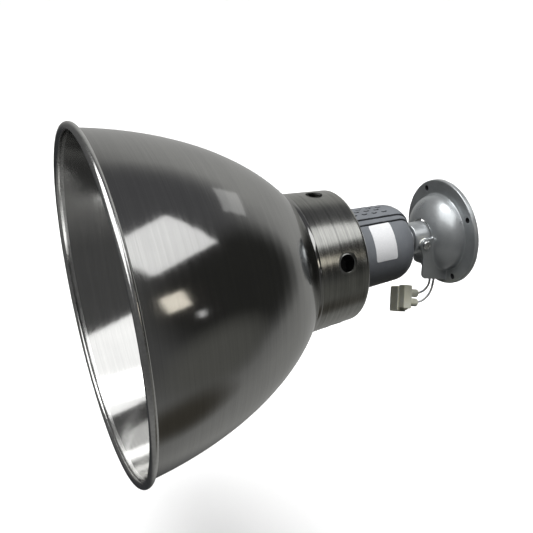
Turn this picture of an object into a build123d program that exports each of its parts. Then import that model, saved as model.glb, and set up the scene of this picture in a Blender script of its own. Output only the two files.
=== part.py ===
from build123d import *
import math
import os

# Wall-mounted heat lamp fixture. Millimetres.
# The origin is the centre of the wall plate's back face. +X points into the wall, +Z is up, and the
# lamp's own axis lies along X, with the reflector's open rim at the -X end.
# The lamp tilts downwards about a cross screw that lies along Y.

# ---- driving dimensions ----------------------------------------------------------------------
RIM_RADIUS = 125.0            # outside of the rolled rim
RIM_X = -290.4                # plane of the rim
BEAD_RADIUS = 2.75            # rolled bead, outside
BELL_END_X = -145.9           # rear edge of the bell's lip
BELL_HALF_LENGTH = 202.3      # half axes of the bell's elliptical outline
BELL_HALF_HEIGHT = 123.2
BELL_CENTRE_X = -329.5        # centre of that ellipse, ahead of the rim
SHEET = 1.2                   # spun aluminium sheet

COLLAR_FRONT_X = -150.0
COLLAR_REAR_X = -104.6
COLLAR_FRONT_RADIUS = 54.1
COLLAR_REAR_RADIUS = 51.3
COLLAR_CORNER = 3.0
COLLAR_OPENING = 21.6
VENT_COUNT = 5
VENT_RADIUS = 6.25
VENT_X = -123.7
VENT_START = 158.5            # degrees about X, from +Y towards +Z

HOUSING_FRONT_RADIUS = 31.9
HOUSING_SHOULDER_X = -58.8
HOUSING_SHOULDER_RADIUS = 30.0
HOUSING_ROUNDING = 14.0
HOUSING_REAR_X = HOUSING_SHOULDER_X + HOUSING_ROUNDING
HOUSING_WALL = 2.8
LIP_RADIUS = 33.0
LIP_END_X = -102.2
NECK_RADIUS = 11.3
NECK_END_X = -38.0

BAND_CENTRE = 75.0            # degrees about X
BAND_HALF_ANGLE = 34.0
BAND_HEIGHT = 1.8
STEP_HALF_ANGLE = 43.0
STEP_HEIGHT = 0.9
CARET_DEPTH = 0.8
CARET_ARM = 2.6
CARET_WIDTH = 1.1
CARET_SLOPE = 24.0            # degrees that each arm of a caret leans
CARET_PITCH = 9.0
CARET_ROW_ANGLE = 8.0
CARET_ROWS = 7
CARET_FIRST = 5.5             # from the lip to the first caret
HOUSING_EDGE = 0.5            # chamfer on the lip
POST_RADIUS = 4.6             # inner posts for the insert's screws
POST_HOLE_RADIUS = 2.0
POST_HOLE_DEPTH = 11.0

STICKER_X = (-86.5, -67.2)
STICKER_CENTRE = 146.9        # degrees about X
STICKER_HEIGHT = 28.6
STICKER_CORNER = 1.5
STICKER_THICKNESS = 0.15

PIVOT_X = -29.0
PIVOT_HOLE_RADIUS = 2.55
PIVOT_SHANK_RADIUS = 2.5
STEM_RADIUS = 12.9
STEM_FRONT_X = -36.6
STEM_REAR_X = -20.8
STEM_BORE_RADIUS = 9.5
STEM_FRONT_WALL = 3.0
STEM_EDGE = 1.5
WASHER_RADIUS = 4.6
STEM_FLAT = 12.4              # half distance between the two washer seats
WASHER_GAP = 0.05
SCREW_HEAD_RADIUS = 3.8
SCREW_HEAD_HEIGHT = 2.6
CROSS_HALF_LENGTH = 2.3       # cross recess in the screw's head
CROSS_HALF_WIDTH = 0.5
CROSS_DEPTH = 1.5
SPRING_WASHER_RADIUS = 4.4
SPRING_WASHER_THICKNESS = 1.0
NUT_ACROSS_FLATS = 8.0
NUT_THICKNESS = 4.0

PLATE_RADIUS = 44.0
PLATE_THICKNESS = 4.0
PLATE_HOLE_RADIUS = 2.1
PLATE_HOLE_CIRCLE = 38.5
PLATE_HOLE_START = 54.0       # degrees about X
PLATE_EDGE = 0.8
DOME_RADIUS = 32.5
DOME_HEIGHT = 21.0
DOME_WALL = 2.6
SLOT_HALF_WIDTH = 13.5
CHEEK_THICKNESS = 2.0
EAR_RADIUS = 4.8
CHEEK_CORNER = 5.0            # rounding of a cheek's low front corner
CHEEK_LOW = -31.0             # height of that corner on the near cheek
NEAR_CHEEK = [(-2.0, 4.8), (-29.0, 4.8), (-33.0, 0.0), (-33.3, -3.5), (-30.4, -11.0),
              (-29.4, CHEEK_LOW), (-13.0, -35.5), (-2.0, -38.6)]
# The far cheek is cut back in front.
FAR_CHEEK = [(-2.0, 4.8), (-29.0, 4.8), (-29.0, -4.8), (-20.5, -6.5), (-16.5, -12.0),
             (-16.0, CHEEK_LOW), (-2.0, -38.6)]
TROUGH_HOLE_RISE = 0.9        # the slot's round end sits this far above the lamp axis

NIPPLE_RADIUS = 5.0
NIPPLE_BORE = 3.8
NIPPLE_FRONT_X = -51.4
NIPPLE_REAR_X = -33.8
LOCKNUT_THICKNESS = 3.5
LOCKNUT_ACROSS_FLATS = 14.0

SKIRT_RADIUS = 21.0           # ceramic insert
SKIRT_FRONT_X = -122.0
INSERT_RADIUS = 27.0
INSERT_REAR_X = -72.0
SOCKET_RADIUS = 14.5
SOCKET_BOTTOM_X = -94.0
SHELL_CREST = 13.8            # Edison E27 shell, outside
SHELL_SHEET = 0.5
SHELL_PITCH = 3.629
SHELL_WAVE = 0.55
RING_RADIUS = 29.0
RING_LENGTH = 8.0
RING_CLEARANCE = 0.05
RING_NOTCHES = 16
RING_NOTCH_RADIUS = 1.9

INSERT_SCREW_OFFSET = 24.0
INSERT_HOLE_RADIUS = 2.2
INSERT_SEAT_RADIUS = 3.8      # counterbore for the screw's head
INSERT_SEAT_DEPTH = 3.0
INSERT_SCREW_RADIUS = 1.95
INSERT_HEAD_RADIUS = 3.6
INSERT_HEAD_HEIGHT = 2.4
CONTACT_OFFSET = 10.0         # screws of the shell and of the centre contact
CONTACT_HOLE_RADIUS = 1.6
CONTACT_SCREW_RADIUS = 1.5
CONTACT_HEAD_RADIUS = 2.3
CONTACT_HEAD_HEIGHT = 1.4
TONGUE_SHEET = 0.7
TONGUE_HALF_WIDTH = 3.0
TONGUE_RISE = 4.2
BLOCK_LENGTH = 8.0
BLOCK_HALF_WIDTH = 4.0
BLOCK_HALF_HEIGHT = 4.2
TERMINAL_SCREW_RADIUS = 1.25
BLOCK_OFFSET = 12.5
TERMINAL_OFFSET = 11.5        # wire holes of the terminal blocks, from the lamp axis
LEAD_RADIUS = 0.9
RADIUS_SHARE = 0.45           # share of the shorter run that a bend may use

CLAMP_Z = -34.5
CLAMP_LENGTH = 6.0
CLAMP_HEIGHT = 5.6
CLAMP_HALF_WIDTH = 6.4
CLAMP_SCREW_RADIUS = 1.45
CLAMP_HEAD_RADIUS = 2.0
CLAMP_HEAD_HEIGHT = 1.8
LEAD_SPACING = 3.2            # half distance between the two supply leads in the clamp
SUPPLY_ROUTES = {
    "supply_lead_a": [(-7.0, 3.2, -9.0), (-6.6, 3.2, -20.0), (-7.0, 3.2, -31.0), (-6.6, 3.0, -41.0),
                      (-5.4, 2.7, -49.0), (-9.9, 2.2, -55.0), (-17.29, 1.81, -57.01), (-24.58, 1.88, -54.54)],
    "supply_lead_b": [(-7.0, -3.2, -9.0), (-6.6, -3.2, -20.0), (-7.0, -3.2, -32.0), (-6.4, -3.0, -44.0),
                      (-7.3, -2.6, -54.6), (-12.1, -2.2, -61.2), (-19.6, -1.86, -63.73), (-26.89, -1.79, -61.25)],
}

CONNECTOR_MIDDLE = (-21.0, 0.0, -59.5)        # between the mouths of the connector's two silos
CONNECTOR_AXIS = (0.947, -0.010, -0.321)      # out of the silos
CONNECTOR_FACE = (0.140, -0.888, 0.438)       # normal of its broad face
SILO_SPACING = 4.0            # half distance between the silos
SILO_RADIUS = 3.5
SILO_LENGTH = 9.0
SILO_BORE = 1.3
FRONT_DEPTH = 8.5             # the connector's two halves, behind its silos
BACK_DEPTH = 9.5
LEAD_DEPTH = 5.0              # how far a lead reaches into its silo
CONTACT_DEPTH = 12.0


# ---- helpers ---------------------------------------------------------------------------------
def turned(*edges):
    """A solid of revolution about X, from a closed outline of (x, radius) edges."""
    return revolve(make_face(list(edges)), axis=Axis.X)


def turned_polygon(*points):
    return revolve(make_face(Polyline(*points, close=True)), axis=Axis.X)


def ring(x_start, x_end, inner, outer):
    return turned_polygon((x_start, inner), (x_end, inner), (x_end, outer), (x_start, outer))


def disc(x_start, x_end, radius):
    return turned_polygon((x_start, 0), (x_end, 0), (x_end, radius), (x_start, radius))


def about_x(shape, angle):
    """Turns a shape about X; 0 degrees is +Y and 90 degrees is +Z."""
    return shape.rotate(Axis.X, angle)


def rod_y(x, z, y_start, y_end, radius):
    plane = Plane(origin=(x, y_start, z), x_dir=(1, 0, 0), z_dir=(0, 1, 0))
    return extrude(plane * Circle(radius), amount=y_end - y_start)


def rod_x(y, z, x_start, x_end, radius):
    plane = Plane(origin=(x_start, y, z), x_dir=(0, 1, 0), z_dir=(1, 0, 0))
    return extrude(plane * Circle(radius), amount=x_end - x_start)


def block(x_range, y_range, z_range):
    size = [high - low for low, high in (x_range, y_range, z_range)]
    centre = [(high + low) / 2 for low, high in (x_range, y_range, z_range)]
    return Pos(*centre) * Box(*size)


def hexagon_x(x_start, x_end, across_flats, hole):
    plane = Plane(origin=(x_start, 0, 0), x_dir=(0, 1, 0), z_dir=(1, 0, 0))
    outline = RegularPolygon(across_flats / 2, 6, major_radius=False) - Circle(hole)
    return extrude(plane * outline, amount=x_end - x_start)


def bend_radii(points):
    """The largest bends that the runs of a route allow, one for each corner."""
    places = [Vector(*point) for point in points]
    radii = []
    for before, corner, after in zip(places, places[1:], places[2:]):
        turn = (corner - before).get_angle(after - corner)
        shorter = min((corner - before).length, (after - corner).length)
        radii.append(RADIUS_SHARE * shorter / math.tan(math.radians(turn / 2)))
    return radii


def lead(points, name):
    """A round wire along a route of straight runs joined by tangent arcs."""
    radii = bend_radii(points)
    path = FilletPolyline(*points, radius=radii)
    start = Plane(origin=path @ 0, z_dir=path % 0)
    wire = sweep(start * Circle(LEAD_RADIUS), path=path)
    ideal = math.pi * LEAD_RADIUS ** 2 * path.length
    print(name, "length", round(path.length, 1), "radii", [round(radius, 1) for radius in radii],
          "volume ratio", round(wire.volume / ideal, 4))
    return wire


def write(name, *solids):
    shape = solids[0] if len(solids) == 1 else Compound(children=list(solids))
    shape.label = name
    export_step(shape, f"parts/{name}.step")


# ---- reflector and collar --------------------------------------------------------------------
def bell_x(radius, inset):
    """Where the bell's outline, drawn in by inset, has this radius."""
    share = radius / (BELL_HALF_HEIGHT - inset)
    return BELL_CENTRE_X + (BELL_HALF_LENGTH - inset) * math.sqrt(1 - share * share)


def bell_arc(inset, start_radius, end_radius):
    """Part of the bell's elliptical outline, between two radii."""
    length = BELL_HALF_LENGTH - inset
    height = BELL_HALF_HEIGHT - inset
    start = math.degrees(math.asin(start_radius / height))
    end = math.degrees(math.asin(end_radius / height))
    return EllipticalCenterArc((BELL_CENTRE_X, 0), length, height, start_angle=start, arc_size=end - start)


def rim_radius(inset):
    share = (RIM_X - BELL_CENTRE_X) / (BELL_HALF_LENGTH - inset)
    return (BELL_HALF_HEIGHT - inset) * math.sqrt(1 - share * share)


def reflector_shade():
    lip_outside = COLLAR_FRONT_RADIUS + SHEET
    lip_inside = COLLAR_FRONT_RADIUS
    outer = bell_arc(0, lip_outside, rim_radius(0))
    inner = bell_arc(SHEET, lip_inside, rim_radius(SHEET))
    rim_edge = Line((RIM_X, rim_radius(SHEET)), (RIM_X, rim_radius(0)))
    lip = Polyline((bell_x(lip_outside, 0), lip_outside), (BELL_END_X, lip_outside),
                   (BELL_END_X, lip_inside), (bell_x(lip_inside, SHEET), lip_inside))
    bell = turned(outer, rim_edge, inner, lip)
    # The rim is rolled outwards into a bead whose edge stops just short of the bell.
    centre = RIM_RADIUS - BEAD_RADIUS
    curl = Pos(RIM_X, centre) * (Circle(BEAD_RADIUS) - Circle(BEAD_RADIUS - SHEET))
    gap = Pos(RIM_X + BEAD_RADIUS / 2, centre - BEAD_RADIUS / 4) * Rectangle(BEAD_RADIUS, BEAD_RADIUS / 2)
    keep = Pos(RIM_X + BEAD_RADIUS / 2, centre - BEAD_RADIUS) * Rectangle(BEAD_RADIUS, BEAD_RADIUS)
    bead = revolve(curl - gap - keep, axis=Axis.X)
    return bell + bead


def vented_collar():
    corner_x = COLLAR_REAR_X - COLLAR_CORNER
    corner_radius = COLLAR_REAR_RADIUS - COLLAR_CORNER
    inner_corner = COLLAR_CORNER - SHEET
    outer = Polyline((COLLAR_FRONT_X, COLLAR_FRONT_RADIUS), (BELL_END_X, COLLAR_FRONT_RADIUS),
                     (corner_x, COLLAR_REAR_RADIUS))
    turn = CenterArc((corner_x, corner_radius), COLLAR_CORNER, 90, -90)
    wall = Polyline((COLLAR_REAR_X, corner_radius), (COLLAR_REAR_X, COLLAR_OPENING),
                    (COLLAR_REAR_X - SHEET, COLLAR_OPENING), (COLLAR_REAR_X - SHEET, corner_radius))
    inner_turn = CenterArc((corner_x, corner_radius), inner_corner, 0, 90)
    inner = Polyline((corner_x, COLLAR_REAR_RADIUS - SHEET), (BELL_END_X, COLLAR_FRONT_RADIUS - SHEET),
                     (COLLAR_FRONT_X, COLLAR_FRONT_RADIUS - SHEET), (COLLAR_FRONT_X, COLLAR_FRONT_RADIUS))
    collar = turned(outer, turn, wall, inner_turn, inner)
    for index in range(VENT_COUNT):
        drill = Pos(VENT_X, COLLAR_FRONT_RADIUS, 0) * Rot(X=90) * Cylinder(VENT_RADIUS, COLLAR_FRONT_RADIUS)
        collar -= about_x(drill, VENT_START + index * 360 / VENT_COUNT)
    return collar


# ---- lampholder housing ----------------------------------------------------------------------
def cone_radius(x):
    """Outside radius of the housing's tapered side."""
    share = (x - LIP_END_X) / (HOUSING_SHOULDER_X - LIP_END_X)
    return HOUSING_FRONT_RADIUS + share * (HOUSING_SHOULDER_RADIUS - HOUSING_FRONT_RADIUS)


def housing_outline(offset, rear_radius):
    """Edges of the housing's side and rounded shoulder, moved outwards by offset."""
    side = Line((LIP_END_X, HOUSING_FRONT_RADIUS + offset),
                (HOUSING_SHOULDER_X, HOUSING_SHOULDER_RADIUS + offset))
    arc_radius = HOUSING_ROUNDING + offset
    centre = (HOUSING_SHOULDER_X, HOUSING_SHOULDER_RADIUS - HOUSING_ROUNDING)
    sweep_angle = math.degrees(math.acos((rear_radius - centre[1]) / arc_radius))
    shoulder = CenterArc(centre, arc_radius, 90, -sweep_angle)
    return side, shoulder, shoulder @ 1


def raised_band(height, half_angle):
    """A raised strip along the housing, from the lip over the rounded shoulder."""
    foot_radius = HOUSING_SHOULDER_RADIUS - HOUSING_ROUNDING + 2
    side, shoulder, end = housing_outline(height, foot_radius)
    inside = Polyline((end.X, end.Y), (HOUSING_SHOULDER_X, foot_radius),
                      (LIP_END_X, HOUSING_FRONT_RADIUS - 1), (LIP_END_X, HOUSING_FRONT_RADIUS + height))
    profile = make_face([side, shoulder, inside])
    strip = revolve(profile, axis=Axis.X, revolution_arc=2 * half_angle)
    return about_x(strip, BAND_CENTRE - half_angle)


def caret(x, angle):
    """A small roof-shaped mark, sunk into the band."""
    radius = cone_radius(x) + BAND_HEIGHT
    mark = None
    for side in (-1, 1):
        arm = Pos(x + side * CARET_ARM / 2, radius, 0)
        arm = arm * Rot(Y=side * CARET_SLOPE) * Box(CARET_ARM, 2 * CARET_DEPTH, CARET_WIDTH)
        mark = arm if mark is None else mark + arm
    return about_x(mark, angle)


def holder_housing():
    side, shoulder, end = housing_outline(0, HOUSING_SHOULDER_RADIUS - HOUSING_ROUNDING)
    rest = Polyline((end.X, end.Y), (HOUSING_REAR_X, NECK_RADIUS), (NECK_END_X - HOUSING_EDGE, NECK_RADIUS),
                    (NECK_END_X, NECK_RADIUS - HOUSING_EDGE), (NECK_END_X, 0), (COLLAR_REAR_X, 0),
                    (COLLAR_REAR_X, LIP_RADIUS - HOUSING_EDGE), (COLLAR_REAR_X + HOUSING_EDGE, LIP_RADIUS),
                    (LIP_END_X - HOUSING_EDGE, LIP_RADIUS), (LIP_END_X, LIP_RADIUS - HOUSING_EDGE),
                    (LIP_END_X, HOUSING_FRONT_RADIUS))
    body = turned(side, shoulder, rest)
    body += raised_band(STEP_HEIGHT, STEP_HALF_ANGLE)
    body += raised_band(BAND_HEIGHT, BAND_HALF_ANGLE)
    # Hollow inside, with a flat rear wall.
    room = HOUSING_ROUNDING - HOUSING_WALL
    centre_radius = HOUSING_SHOULDER_RADIUS - HOUSING_ROUNDING
    inner_side = Line((COLLAR_REAR_X, HOUSING_FRONT_RADIUS - HOUSING_WALL),
                      (HOUSING_SHOULDER_X, HOUSING_SHOULDER_RADIUS - HOUSING_WALL))
    inner_turn = CenterArc((HOUSING_SHOULDER_X, centre_radius), room, 90, -90)
    inner_rest = Polyline((HOUSING_REAR_X - HOUSING_WALL, centre_radius), (HOUSING_REAR_X - HOUSING_WALL, 0),
                          (COLLAR_REAR_X, 0), (COLLAR_REAR_X, HOUSING_FRONT_RADIUS - HOUSING_WALL))
    hollow = turned(inner_side, inner_turn, inner_rest)
    # Two posts take the screws that hold the ceramic insert.
    for sign in (-1, 1):
        hollow -= rod_x(sign * INSERT_SCREW_OFFSET, 0, INSERT_REAR_X, HOUSING_REAR_X, POST_RADIUS)
    body -= hollow
    for sign in (-1, 1):
        body -= rod_x(sign * INSERT_SCREW_OFFSET, 0, INSERT_REAR_X, INSERT_REAR_X + POST_HOLE_DEPTH,
                      POST_HOLE_RADIUS)
    body -= rod_x(0, 0, HOUSING_REAR_X - HOUSING_WALL - 1, NECK_END_X + 1, NIPPLE_RADIUS)
    for row in range(CARET_ROWS):
        x = LIP_END_X + CARET_FIRST
        if row % 2 == 0:
            x += CARET_PITCH / 2
        angle = BAND_CENTRE + (row - (CARET_ROWS - 1) / 2) * CARET_ROW_ANGLE
        while x < HOUSING_SHOULDER_X - CARET_ARM:
            body -= caret(x, angle)
            x += CARET_PITCH
    return body


def rating_sticker():
    start, end = STICKER_X
    shell = turned_polygon((start, cone_radius(start)), (end, cone_radius(end)),
                           (end, cone_radius(end) + STICKER_THICKNESS),
                           (start, cone_radius(start) + STICKER_THICKNESS))
    plane = Plane(origin=((start + end) / 2, 0, 0), x_dir=(1, 0, 0), z_dir=(0, 1, 0))
    outline = plane * RectangleRounded(end - start, STICKER_HEIGHT, STICKER_CORNER)
    cutter = extrude(outline, amount=HOUSING_FRONT_RADIUS + 5)
    return shell & about_x(cutter, STICKER_CENTRE)


# ---- socket inside ---------------------------------------------------------------------------
def ceramic_insert():
    body = turned_polygon((SKIRT_FRONT_X, SOCKET_RADIUS), (SKIRT_FRONT_X, SKIRT_RADIUS - 1),
                          (SKIRT_FRONT_X + 1, SKIRT_RADIUS), (COLLAR_REAR_X, SKIRT_RADIUS),
                          (COLLAR_REAR_X, INSERT_RADIUS), (INSERT_REAR_X - 1, INSERT_RADIUS),
                          (INSERT_REAR_X, INSERT_RADIUS - 1), (INSERT_REAR_X, 0),
                          (SOCKET_BOTTOM_X, 0), (SOCKET_BOTTOM_X, SOCKET_RADIUS))
    for sign in (-1, 1):
        body -= rod_x(sign * INSERT_SCREW_OFFSET, 0, COLLAR_REAR_X, INSERT_REAR_X, INSERT_HOLE_RADIUS)
        body -= rod_x(sign * INSERT_SCREW_OFFSET, 0, COLLAR_REAR_X, COLLAR_REAR_X + INSERT_SEAT_DEPTH,
                      INSERT_SEAT_RADIUS)
        body -= rod_x(0, sign * CONTACT_OFFSET, SOCKET_BOTTOM_X, INSERT_REAR_X, CONTACT_HOLE_RADIUS)
    return body


def screw_shell():
    """A rolled Edison shell: a wavy sleeve with a flat ring at its foot."""
    turns = 6
    front = SOCKET_BOTTOM_X - 1.0 - turns * SHELL_PITCH
    outer = []
    inner = []
    steps = 8 * turns
    for step in range(steps + 1):
        x = front + step * SHELL_PITCH / 8
        wave = SHELL_WAVE * math.cos(step * math.pi / 4)
        outer.append((x, SHELL_CREST - SHELL_WAVE + wave))
        inner.append((x, SHELL_CREST - SHELL_WAVE + wave - SHELL_SHEET))
    foot = SOCKET_BOTTOM_X - SHELL_SHEET
    outside = [(SOCKET_BOTTOM_X, SHELL_CREST), (SOCKET_BOTTOM_X, 8.0), (foot, 8.0),
               (foot, SHELL_CREST - SHELL_SHEET)]
    edges = [Spline(*outer), Polyline(outer[-1], *outside, inner[-1]), Spline(*inner[::-1]),
             Line(inner[0], outer[0])]
    sleeve = turned(*edges)
    # One hole for its own screw, and a notch that clears the centre contact.
    sleeve -= rod_x(0, -CONTACT_OFFSET, foot, SOCKET_BOTTOM_X, CONTACT_HOLE_RADIUS)
    notch = TONGUE_HALF_WIDTH + 0.6
    return sleeve - block((foot, SOCKET_BOTTOM_X), (-notch, notch), (5, SHELL_CREST - 1))


def centre_contact():
    """A spring tongue that rises from its screw to the middle of the socket."""
    foot_x = SOCKET_BOTTOM_X
    top_x = foot_x - TONGUE_RISE
    slope_shift = 0.3             # keeps the sloping part as thick as the rest
    line = [(foot_x, CONTACT_OFFSET + 2.8), (foot_x, 5.5), (top_x, 2.0), (top_x, -3.0)]
    back = [(top_x - TONGUE_SHEET, -3.0), (top_x - TONGUE_SHEET, 2.0 + slope_shift),
            (foot_x - TONGUE_SHEET, 5.5 + slope_shift), (foot_x - TONGUE_SHEET, CONTACT_OFFSET + 2.8)]
    outline = make_face(Polyline(*line, *back, close=True))
    plane = Plane(origin=(0, TONGUE_HALF_WIDTH, 0), x_dir=(1, 0, 0), z_dir=(0, -1, 0))
    tongue = extrude(plane * outline, amount=2 * TONGUE_HALF_WIDTH)
    return tongue - rod_x(0, CONTACT_OFFSET, foot_x - TONGUE_SHEET, foot_x, CONTACT_HOLE_RADIUS)


def contact_screws():
    """One screw through the shell's foot and one through the tongue, into the terminal blocks."""
    screws = []
    for z, seat in ((CONTACT_OFFSET, TONGUE_SHEET), (-CONTACT_OFFSET, SHELL_SHEET)):
        under_head = SOCKET_BOTTOM_X - seat
        top = under_head - CONTACT_HEAD_HEIGHT
        screw = rod_x(0, z, under_head, INSERT_REAR_X + BLOCK_LENGTH / 2, CONTACT_SCREW_RADIUS)
        screw += rod_x(0, z, top, under_head, CONTACT_HEAD_RADIUS)
        slot = block((top, top + 0.7), (-CONTACT_HEAD_RADIUS, CONTACT_HEAD_RADIUS), (z - 0.35, z + 0.35))
        screws.append(screw - slot)
    return screws


def terminal_blocks():
    blocks = []
    for sign in (-1, 1):
        centre = sign * BLOCK_OFFSET
        wire_z = sign * TERMINAL_OFFSET
        middle = INSERT_REAR_X + BLOCK_LENGTH / 2
        end = INSERT_REAR_X + BLOCK_LENGTH
        body = block((INSERT_REAR_X, end), (-BLOCK_HALF_WIDTH, BLOCK_HALF_WIDTH),
                     (centre - BLOCK_HALF_HEIGHT, centre + BLOCK_HALF_HEIGHT))
        body -= rod_x(0, sign * CONTACT_OFFSET, INSERT_REAR_X, middle, CONTACT_SCREW_RADIUS)
        body -= rod_x(0, wire_z, middle, end, LEAD_RADIUS + 0.25)
        body -= rod_y(middle + 2, wire_z, -BLOCK_HALF_WIDTH, -LEAD_RADIUS, TERMINAL_SCREW_RADIUS)
        blocks.append(body)
    return blocks


def terminal_screws():
    screws = []
    for sign in (-1, 1):
        z = sign * TERMINAL_OFFSET
        x = INSERT_REAR_X + BLOCK_LENGTH / 2 + 2
        top = -BLOCK_HALF_WIDTH - 2
        screw = rod_y(x, z, top, -LEAD_RADIUS, TERMINAL_SCREW_RADIUS)
        slot = block((x - 2, x + 2), (top, top + 0.6), (z - 0.3, z + 0.3))
        screws.append(screw - slot)
    return screws


def insert_screws():
    screws = []
    for sign in (-1, 1):
        y = sign * INSERT_SCREW_OFFSET
        under_head = COLLAR_REAR_X + INSERT_SEAT_DEPTH
        top = under_head - INSERT_HEAD_HEIGHT
        screw = rod_x(y, 0, top, under_head, INSERT_HEAD_RADIUS)
        screw += rod_x(y, 0, under_head, INSERT_REAR_X + POST_HOLE_DEPTH - 1.5, INSERT_SCREW_RADIUS)
        for half_y, half_z in ((2.2, 0.45), (0.45, 2.2)):
            screw -= block((top, top + 1.3), (y - half_y, y + half_y), (-half_z, half_z))
        screws.append(screw)
    return screws


def shade_ring():
    """The threaded ring that clamps the collar onto the socket's skirt."""
    front = COLLAR_REAR_X - SHEET - RING_LENGTH
    rear = front + RING_LENGTH
    inner = SKIRT_RADIUS + RING_CLEARANCE
    body = turned_polygon((front, inner), (front, RING_RADIUS - 1.5), (front + 1.5, RING_RADIUS),
                          (rear, RING_RADIUS), (rear, inner))
    for index in range(RING_NOTCHES):
        notch = rod_x(RING_RADIUS + 0.8, 0, front, rear - 2, RING_NOTCH_RADIUS)
        body -= about_x(notch, index * 360 / RING_NOTCHES)
    return body


# ---- swivel ----------------------------------------------------------------------------------
def swivel_stem():
    barrel = disc(STEM_FRONT_X, STEM_REAR_X, STEM_RADIUS)
    barrel = fillet(barrel.edges().filter_by(GeomType.CIRCLE), STEM_EDGE)
    barrel += disc(NECK_END_X, STEM_FRONT_X + 2, STEM_BORE_RADIUS)
    barrel -= rod_x(0, 0, STEM_FRONT_X + STEM_FRONT_WALL, STEM_REAR_X, STEM_BORE_RADIUS)
    barrel -= rod_x(0, 0, NECK_END_X, STEM_FRONT_X + STEM_FRONT_WALL, NIPPLE_RADIUS)
    barrel -= rod_y(PIVOT_X, 0, -STEM_RADIUS, STEM_RADIUS, PIVOT_HOLE_RADIUS)
    for sign in (-1, 1):
        seat_start, seat_end = sorted((sign * STEM_FLAT, sign * (STEM_RADIUS + 1)))
        barrel -= rod_y(PIVOT_X, 0, seat_start, seat_end, WASHER_RADIUS + 0.3)
    return barrel


def pivot_washers():
    washers = []
    for sign in (-1, 1):
        inner, outer = sorted((sign * (STEM_FLAT + WASHER_GAP), sign * SLOT_HALF_WIDTH))
        washer = rod_y(PIVOT_X, 0, inner, outer, WASHER_RADIUS)
        washers.append(washer - rod_y(PIVOT_X, 0, inner, outer, PIVOT_SHANK_RADIUS))
    return washers


def pivot_screw():
    """A pan-head screw with a cross recess; its head is on the -Y side."""
    ear_face = SLOT_HALF_WIDTH + CHEEK_THICKNESS
    end = ear_face + SPRING_WASHER_THICKNESS + NUT_THICKNESS + 1.2
    top = -ear_face - SCREW_HEAD_HEIGHT
    head = rod_y(PIVOT_X, 0, top, -ear_face, SCREW_HEAD_RADIUS)
    head = fillet(head.edges().filter_by(GeomType.CIRCLE).sort_by(Axis.Y)[0], 1.6)
    screw = head + rod_y(PIVOT_X, 0, -ear_face, end, PIVOT_SHANK_RADIUS)
    for half_x, half_z in ((CROSS_HALF_LENGTH, CROSS_HALF_WIDTH), (CROSS_HALF_WIDTH, CROSS_HALF_LENGTH)):
        screw -= block((PIVOT_X - half_x, PIVOT_X + half_x), (top, top + CROSS_DEPTH), (-half_z, half_z))
    return screw


def pivot_spring_washer():
    start = SLOT_HALF_WIDTH + CHEEK_THICKNESS
    end = start + SPRING_WASHER_THICKNESS
    washer = rod_y(PIVOT_X, 0, start, end, SPRING_WASHER_RADIUS)
    washer -= rod_y(PIVOT_X, 0, start, end, PIVOT_SHANK_RADIUS + 0.1)
    return washer - block((PIVOT_X - 0.4, PIVOT_X + 0.4), (start, end), (2, 5))


def pivot_nut():
    start = SLOT_HALF_WIDTH + CHEEK_THICKNESS + SPRING_WASHER_THICKNESS
    plane = Plane(origin=(PIVOT_X, start, 0), x_dir=(1, 0, 0), z_dir=(0, 1, 0))
    outline = RegularPolygon(NUT_ACROSS_FLATS / 2, 6, major_radius=False) - Circle(PIVOT_SHANK_RADIUS)
    return extrude(plane * outline, amount=NUT_THICKNESS)


def cheek(y_start, points):
    """One side wall of the trough, with the ear that carries the pivot screw."""
    plane = Plane(origin=(0, y_start + CHEEK_THICKNESS, 0), x_dir=(1, 0, 0), z_dir=(0, -1, 0))
    wall = make_face(Polyline(*points, close=True))
    wall = fillet([vertex for vertex in wall.vertices() if abs(vertex.Y - CHEEK_LOW) < 0.01], CHEEK_CORNER)
    outline = wall + Pos(PIVOT_X, 0) * Circle(EAR_RADIUS)
    return extrude(plane * outline, amount=CHEEK_THICKNESS)


def dome(height, radius):
    """A dome on the wall plate: half an ellipse turned about X."""
    arc = EllipticalCenterArc((-PLATE_THICKNESS, 0), height, radius, start_angle=90, arc_size=90)
    base = Polyline((-PLATE_THICKNESS - height, 0), (-PLATE_THICKNESS, 0), (-PLATE_THICKNESS, radius))
    return turned(arc, base)


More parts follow.
